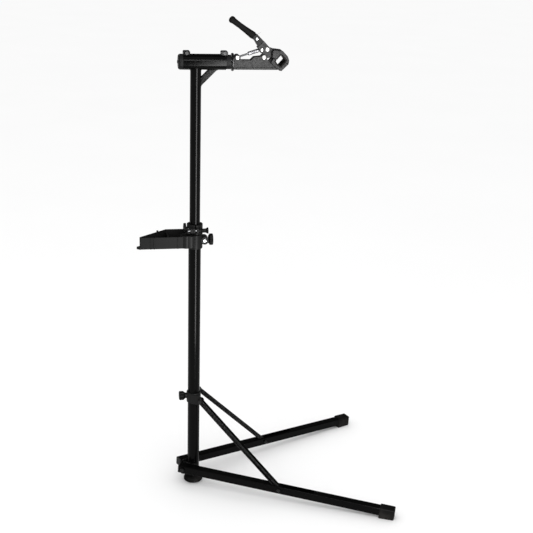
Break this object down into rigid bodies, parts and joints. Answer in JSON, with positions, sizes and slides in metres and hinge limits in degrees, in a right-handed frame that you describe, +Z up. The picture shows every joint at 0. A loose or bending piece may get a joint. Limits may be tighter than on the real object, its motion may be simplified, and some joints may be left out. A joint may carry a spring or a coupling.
{
  "type": "bike repair stand",
  "caption": "Folding bike repair stand with braced legs, height-adjustable mast, swinging tool tray and a turning lever clamp with rubber-faced jaws.",
  "frame": {"origin": "on the floor under the mast axis, centre of the round foot's underside", "axes": "+Z up along the mast, +X along the head tube towards the clamp jaws, -Y the side the rivets face"},
  "size_m": [0.7842, 0.6396, 1.4964],
  "materials": {
    "black_paint": "gloss black powder coat",
    "grey_steel": "satin dark grey",
    "black_plastic": "fine moulded grain",
    "rubber": "matt rubber",
    "zinc": "zinc plated",
    "bright_steel": "bright nickel",
    "black_steel": "black oxide"
  },
  "bodies": {
    "base": {"lower_mast_tube": "black_paint", "base_bracket": "black_paint", "foot_pad": "rubber", "foot_hub": "zinc", "foot_bolt": "zinc", "leg_hinge_bolts": "zinc", "height_collar": "black_plastic", "height_bushing": "black_plastic", "skewer": "zinc", "cam_saddle": "black_plastic"},
    "leg_far": {"leg_tube_far": "black_paint", "leg_boot_far": "rubber", "leg_rear_plug_far": "black_plastic", "brace_foot_bolt_far": "zinc"},
    "leg_near": {"leg_tube_near": "black_paint", "leg_boot_near": "rubber", "leg_rear_plug_near": "black_plastic", "brace_foot_bolt_near": "zinc"},
    "brace_far": {"brace_far": "black_paint", "brace_top_bolt_far": "zinc"},
    "brace_near": {"brace_near": "black_paint", "brace_top_bolt_near": "zinc"},
    "brace_slider": {"brace_collar": "black_plastic", "collar_ear_studs": "zinc"},
    "slider_knob": {"collar_knob": "black_plastic", "collar_screw": "zinc"},
    "cam_lever": {"cam_lever": "black_plastic"},
    "skewer_nut": {"skewer_nut": "black_plastic"},
    "upper_mast": {"upper_mast_tube": "black_paint", "mast_guide": "black_plastic", "head_tube": "black_paint", "head_gusset": "black_paint", "pinch_lugs": "black_paint", "pinch_bolts": "zinc", "head_ring_rear": "black_plastic", "head_ring_front": "black_plastic"},
    "clamp": {"clamp_shaft": "zinc", "shaft_cap": "black_steel", "clamp_flange": "black_steel", "clamp_body": "grey_steel", "fixed_jaw": "grey_steel", "fixed_jaw_pad": "rubber", "pins_a_d": "bright_steel"},
    "moving_jaw": {"moving_jaw": "grey_steel", "moving_jaw_pad": "rubber", "pin_c": "bright_steel"},
    "lever": {"lever_plates": "grey_steel", "lever_arm": "black_plastic", "handle_grip": "rubber", "grip_screw": "zinc", "pins_b": "bright_steel"},
    "link": {"link_rod": "zinc", "link_end": "zinc"},
    "adjuster": {"adjuster_barrel": "zinc"},
    "tray": {"tray_body": "black_plastic", "tray_collar": "black_plastic", "tray_barrel": "zinc", "tray_fixings": "zinc"},
    "tray_knob": {"tray_knob": "black_plastic", "tray_screw": "zinc"}
  },
  "joints": [
    {"name": "leg_fold", "type": "hinge", "parent": "base", "child": "leg_far", "pos_m": [-0.03437, 0.02312, 0.056], "axis": [0.4067, -0.9135, 0], "range_deg": [0, 82]},
    {"name": "near_leg_fold", "type": "hinge", "parent": "base", "child": "leg_near", "pos_m": [-0.03437, -0.02312, 0.056], "axis": [-0.4067, -0.9135, 0], "range_deg": [0, 82]},
    {"name": "far_brace_fold", "type": "hinge", "parent": "leg_far", "child": "brace_far", "pos_m": [0.25812, 0.16156, 0.0383], "axis": [0.4067, -0.9135, 0], "range_deg": [-125.58, 0]},
    {"name": "near_brace_fold", "type": "hinge", "parent": "leg_near", "child": "brace_near", "pos_m": [0.25812, -0.16156, 0.0383], "axis": [-0.4067, -0.9135, 0], "range_deg": [-125.58, 0]},
    {"name": "slider_travel", "type": "slide", "parent": "base", "child": "brace_slider", "axis": [0, 0, 1], "range_m": [0, 0.44524]},
    {"name": "slider_knob_turn", "type": "hinge", "parent": "brace_slider", "child": "slider_knob", "pos_m": [-0.04, 0, 0.309], "axis": [-1, 0, 0], "continuous": true},
    {"name": "cam_lever_swing", "type": "hinge", "parent": "base", "child": "cam_lever", "pos_m": [-0.022, -0.03, 0.8725], "axis": [0, 0, 1], "range_deg": [0, 95]},
    {"name": "skewer_nut_turn", "type": "hinge", "parent": "base", "child": "skewer_nut", "pos_m": [0.02, -0.03, 0.8725], "axis": [1, 0, 0], "continuous": true},
    {"name": "mast_height", "type": "slide", "parent": "base", "child": "upper_mast", "axis": [0, 0, 1], "range_m": [-0.33, 0.12]},
    {"name": "clamp_turn", "type": "hinge", "parent": "upper_mast", "child": "clamp", "pos_m": [0.1, 0, 1.368], "axis": [1, 0, 0], "continuous": true},
    {"name": "jaw_open", "type": "hinge", "parent": "clamp", "child": "moving_jaw", "pos_m": [0.195, 0, 1.3831], "axis": [0, -1, 0], "range_deg": [0, 30]},
    {"name": "lever_swing", "type": "hinge", "parent": "moving_jaw", "child": "lever", "pos_m": [0.2042, 0, 1.4051], "axis": [0, -1, 0], "range_deg": [-82.4, 0]},
    {"name": "link_swing", "type": "hinge", "parent": "clamp", "child": "link", "pos_m": [0.118, 0, 1.3814], "axis": [0, -1, 0], "range_deg": [0, 12.62]},
    {"name": "adjuster_turn", "type": "hinge", "parent": "link", "child": "adjuster", "pos_m": [0.15305, 0, 1.3928], "axis": [0.951, 0, 0.3093], "continuous": true},
    {"name": "tray_swing", "type": "hinge", "parent": "base", "child": "tray", "pos_m": [0, 0, 0.824], "axis": [0, 0, 1], "continuous": true},
    {"name": "tray_knob_turn", "type": "hinge", "parent": "tray", "child": "tray_knob", "pos_m": [0.045, 0, 0.835], "axis": [1, 0, 0], "continuous": true}
  ],
  "couplings": [
    {"joint": "near_leg_fold", "follows": "leg_fold", "ratio": 1},
    {"joint": "far_brace_fold", "follows": "leg_fold", "ratio": -1.5314},
    {"joint": "near_brace_fold", "follows": "leg_fold", "ratio": -1.5314},
    {"joint": "slider_travel", "follows": "leg_fold", "m_per_rad": 0.31103},
    {"joint": "lever_swing", "follows": "jaw_open", "ratio": -2.7464},
    {"joint": "link_swing", "follows": "jaw_open", "ratio": 0.42045}
  ]
}
